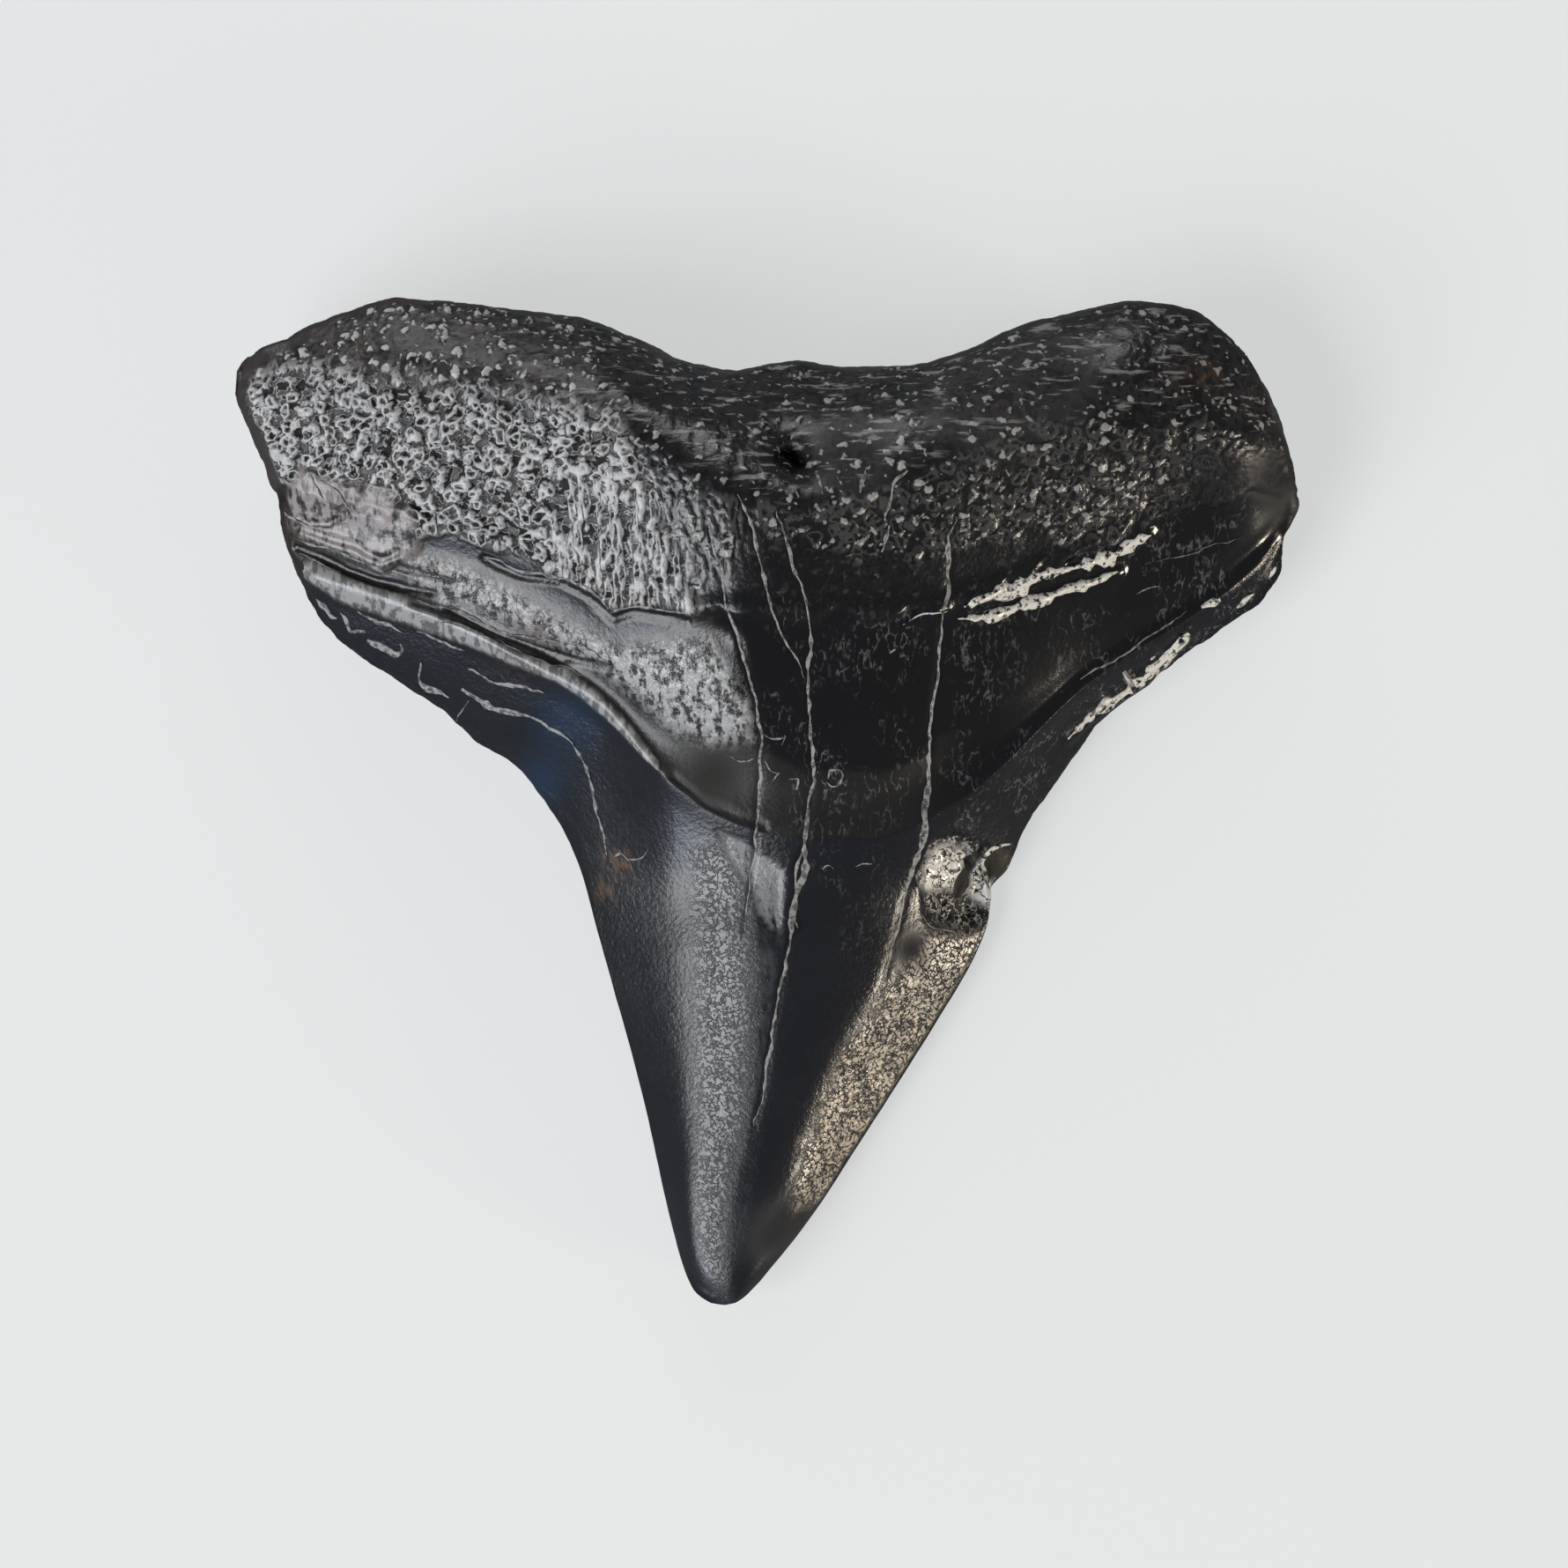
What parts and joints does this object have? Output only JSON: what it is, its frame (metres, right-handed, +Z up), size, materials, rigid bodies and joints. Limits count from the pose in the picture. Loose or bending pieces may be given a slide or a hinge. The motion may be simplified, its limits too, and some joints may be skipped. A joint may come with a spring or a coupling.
{
  "type": "fossil shark tooth",
  "caption": "Loose fossil shark tooth, a broad triangular blade on a thick two-lobed root, lying on its flat labial face.",
  "frame": {"origin": "centre of the tooth's box, on the plane of the flat labial face that it rests on", "axes": "+X to the right across the crown, +Y from the tip of the crown to the root, +Z up, out of the lingual face"},
  "size_m": [0.022, 0.0208, 0.0055],
  "materials": {
    "fossil": "black phosphate, polished on the enamel and matt and porous on the root"
  },
  "bodies": {
    "root": {"tooth": "fossil"}
  },
  "joints": []
}
